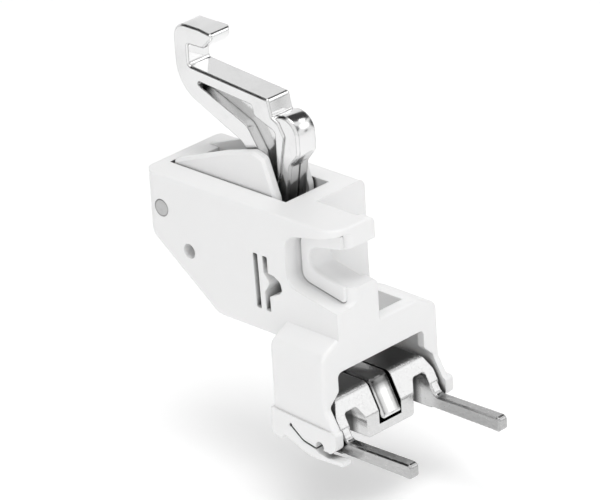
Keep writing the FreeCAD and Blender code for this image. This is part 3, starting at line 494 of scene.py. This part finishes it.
def headed_pin():
    """The rear pin, whose flush head has a turned groove near its rim, darkened with painted shade."""
    recipe = Recipe("headed_pin")
    recipe.set(Metallic=1.0)
    offset = recipe.node("ShaderNodeVectorMath", operation="SUBTRACT")
    offset.inputs[1].default_value = HEAD_PLACE
    recipe.link(recipe.place(), offset.inputs[0])
    across = recipe.node("ShaderNodeVectorMath", operation="MULTIPLY")
    across.inputs[1].default_value = (0.0, 1.0, 1.0)
    recipe.link(offset.outputs["Vector"], across.inputs[0])
    radius = recipe.node("ShaderNodeVectorMath", operation="LENGTH")
    recipe.link(across.outputs["Vector"], radius.inputs[0])
    rim = recipe.spread(radius.outputs["Value"], 0.0, 1.0,
                        GROOVE_INNER * HEAD_RADIUS, GROOVE_OUTER * HEAD_RADIUS)
    grain = recipe.noise(*HEAD_GRAIN)
    relief = recipe.bump(rim, *GROOVE_RELIEF, recipe.bump(grain, *HEAD_GRAIN_RELIEF))
    # Painted shade: the groove darkened
    recipe.feed(Base_Color=recipe.mix(rim, recipe.mix(grain, *HEAD_GREYS), GROOVE_SHADE_GREY),
                Roughness=recipe.spread(grain, *HEAD_ROUGHNESS), Normal=relief)
    return recipe.material


def spring_wire():
    """Bright hard-drawn wire."""
    recipe = Recipe("spring_wire")
    recipe.set(Metallic=1.0)
    drawn = recipe.noise(*WIRE_DRAWN)
    relief = recipe.bump(drawn, *WIRE_DRAWN_RELIEF, recipe.soft_edges(WIRE_EDGE_ROUND))
    recipe.feed(Base_Color=recipe.mix(drawn, *WIRE_GREYS),
                Roughness=recipe.spread(drawn, *WIRE_ROUGHNESS), Normal=relief)
    return recipe.material


MATERIAL_OF = {
    "housing": white_plastic,
    "lift_lever": lever_plastic,
    "arm_spacer": white_plastic,
    "feed_arm": chrome,
    "arm_spring": spring_wire,
    "lift_spring": spring_wire,
    "claw_spring": spring_wire,
    "feed_claw": claw_steel,
    "claw_pin": pin_steel,
    "rear_pivot_pin": headed_pin,
    "arm_pivot_pin": pin_steel,
}


def dress_nodes():
    """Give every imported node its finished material."""
    made = {}
    for name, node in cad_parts.items():
        maker = MATERIAL_OF[name]
        if maker not in made:
            made[maker] = maker()
        node.data.materials.clear()
        node.data.materials.append(made[maker])


def corner_points(before, here, after, radius):
    """Points of the arc that rounds one corner of an outline."""
    to_before = (before - here).normalized()
    to_after = (after - here).normalized()
    half = to_before.angle(to_after) / 2
    centre = here + (to_before + to_after).normalized() * (radius / math.sin(half))
    start = here + to_before * (radius / math.tan(half)) - centre
    end = here + to_after * (radius / math.tan(half)) - centre
    points = []
    for step in range(CORNER_STEPS + 1):
        part = step / CORNER_STEPS
        points.append(centre + (start * (1 - part) + end * part).normalized() * radius)
    return points


def rim_outline():
    """Outline of the band, as Y, Z and a corner radius."""
    def upper(y):
        return RIM_TOP - RECESS_SLOPE * y

    def lower(y):
        return RIM_BOTTOM + RECESS_SLOPE * y

    def slot(y):
        return SLOT_HALF_AT_AXIS - SLOT_SLOPE * y

    return [
        (RIM_FRONT, upper(RIM_FRONT), RIM_FRONT_ROUND),
        (RIM_REAR, upper(RIM_REAR), RIM_REAR_TOP_ROUND),
        (RIM_REAR, lower(RIM_REAR), RIM_REAR_BOTTOM_ROUND),
        (RIM_FRONT, lower(RIM_FRONT), RIM_FRONT_ROUND),
        (RIM_FRONT, -slot(RIM_FRONT), RIM_FRONT_ROUND),
        (SLOT_RADIUS, -slot(SLOT_RADIUS), SLOT_RADIUS),
        (SLOT_RADIUS, slot(SLOT_RADIUS), SLOT_RADIUS),
        (RIM_FRONT, slot(RIM_FRONT), RIM_FRONT_ROUND),
    ]


def inset(points, distance):
    """A clockwise loop of points, moved inwards."""
    moved = []
    for index, point in enumerate(points):
        along = (points[(index + 1) % len(points)] - points[index - 1]).normalized()
        moved.append(point + Vector((along.y, -along.x)) * distance)
    return moved


def rim_loop():
    """Points round the band, with its corners rounded."""
    outline = rim_outline()
    flat = [Vector(point[:2]) for point in outline]
    loop = []
    for index, point in enumerate(outline):
        after = flat[(index + 1) % len(flat)]
        loop += corner_points(flat[index - 1], flat[index], after, point[2])
    return [point for index, point in enumerate(loop)
            if (point - loop[index - 1]).length > CLOSEST_POINTS]


def rim_rings(loop):
    """Depths and loops of the band, from its sunk root to its rounded top."""
    rings = [(RIM_FLOOR_X + RIM_SUNK, loop)]
    for step in range(RIM_ROUND_STEPS + 1):
        angle = math.pi / 2 * step / RIM_ROUND_STEPS
        x = RIM_FLOOR_X - RIM_HEIGHT + RIM_ROUND * (1 - math.sin(angle))
        rings.append((x, inset(loop, RIM_ROUND * (1 - math.cos(angle)))))
    return rings


def skin_faces(count, rings):
    """Faces of a closed skin over rings with the same count of points."""
    last = (rings - 1) * count
    faces = [tuple(reversed(range(count))), tuple(range(last, last + count))]
    for ring in range(rings - 1):
        for index in range(count):
            low = ring * count + index
            low_next = ring * count + (index + 1) % count
            faces.append((low, low_next, low_next + count, low + count))
    return faces


def make_slot_rim():
    """The raised band on which the clamp screw's head bears."""
    loop = rim_loop()
    rings = rim_rings(loop)
    verts = [(x * MM, point.x * MM, point.y * MM) for x, ring in rings for point in ring]
    mesh = bpy.data.meshes.new("slot_rim")
    mesh.from_pydata(verts, [], skin_faces(len(loop), len(rings)))
    mesh.shade_smooth()
    mesh.set_sharp_from_angle(angle=math.radians(SHARP_ANGLE))
    mesh.materials.append(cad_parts["housing"].data.materials[0])
    piece = bpy.data.objects.new("slot_rim", mesh)
    bpy.context.scene.collection.objects.link(piece)
    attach(piece, "holder")


def make_floor():
    """A plain pale floor, clear below the prongs at every limit of the joints."""
    half = FLOOR_SIZE / 2
    height = cad_low.z - FLOOR_GAP
    corners = [(x, y, height) for x, y in ((-half, -half), (half, -half), (half, half), (-half, half))]
    mesh = bpy.data.meshes.new("floor")
    mesh.from_pydata(corners, [], [(0, 1, 2, 3)])
    floor = bpy.data.objects.new("floor", mesh)
    bpy.context.scene.collection.objects.link(floor)
    recipe = Recipe("floor_paper")
    recipe.set(Base_Color=opaque_grey(FLOOR_GREY), Roughness=FLOOR_ROUGHNESS,
               Specular_IOR_Level=FLOOR_SHEEN, Emission_Color=opaque_grey(1.0),
               Emission_Strength=FLOOR_GLOW)
    mesh.materials.append(recipe.material)


def area_light(name, place, target, size, power):
    """A square soft box that faces a point; places in millimetres."""
    data = bpy.data.lights.new(name, "AREA")
    data.shape = "SQUARE"
    data.size = size * MM
    data.energy = power
    light = bpy.data.objects.new(name, data)
    start = Vector(place) * MM
    direction = Vector(target) * MM - start
    turn = direction.to_track_quat("-Z", "Y").to_matrix().to_4x4()
    light.matrix_world = Matrix.Translation(start) @ turn
    bpy.context.scene.collection.objects.link(light)


def card_mask(tree, direction, towards, inner, outer):
    """1 in the directions of a card's core, falling to 0 at its outer edge."""
    facing = tree.nodes.new("ShaderNodeVectorMath")
    facing.operation = "DOT_PRODUCT"
    facing.inputs[1].default_value = Vector(towards).normalized()
    tree.links.new(direction, facing.inputs[0])
    mask = tree.nodes.new("ShaderNodeMapRange")
    mask.interpolation_type = "SMOOTHSTEP"
    mask.inputs["From Min"].default_value = math.cos(math.radians(outer))
    mask.inputs["From Max"].default_value = math.cos(math.radians(inner))
    tree.links.new(facing.outputs["Value"], mask.inputs["Value"])
    return mask.outputs["Result"]


def studio_tent():
    """A white tent, each of whose cards covers those before it."""
    world = bpy.data.worlds.new("studio")
    bpy.context.scene.world = world
    world.use_nodes = True
    tree = world.node_tree
    direction = tree.nodes.new("ShaderNodeTexCoord").outputs["Generated"]
    shade = None
    for towards, inner, outer, brightness in TENT_CARDS:
        mask = card_mask(tree, direction, towards, inner, outer)
        mix = tree.nodes.new("ShaderNodeMix")
        mix.data_type = "RGBA"
        mix.clamp_result = False
        mix.inputs["A"].default_value = opaque_grey(1.0)
        mix.inputs["B"].default_value = opaque_grey(brightness)
        tree.links.new(mask, mix.inputs["Factor"])
        if shade is not None:
            tree.links.new(shade, mix.inputs["A"])
        shade = mix.outputs["Result"]
    background = tree.nodes["Background"]
    tree.links.new(shade, background.inputs["Color"])
    background.inputs["Strength"].default_value = TENT_STRENGTH


def make_light():
    """White surroundings and two soft boxes."""
    bpy.context.scene.view_settings.view_transform = "Standard"
    studio_tent()
    for name, (place, size, power) in SOFT_BOXES.items():
        area_light(name, place, (0, 0, 0), size, power)


make_camera()
dress_nodes()
make_slot_rim()
make_floor()
make_light()
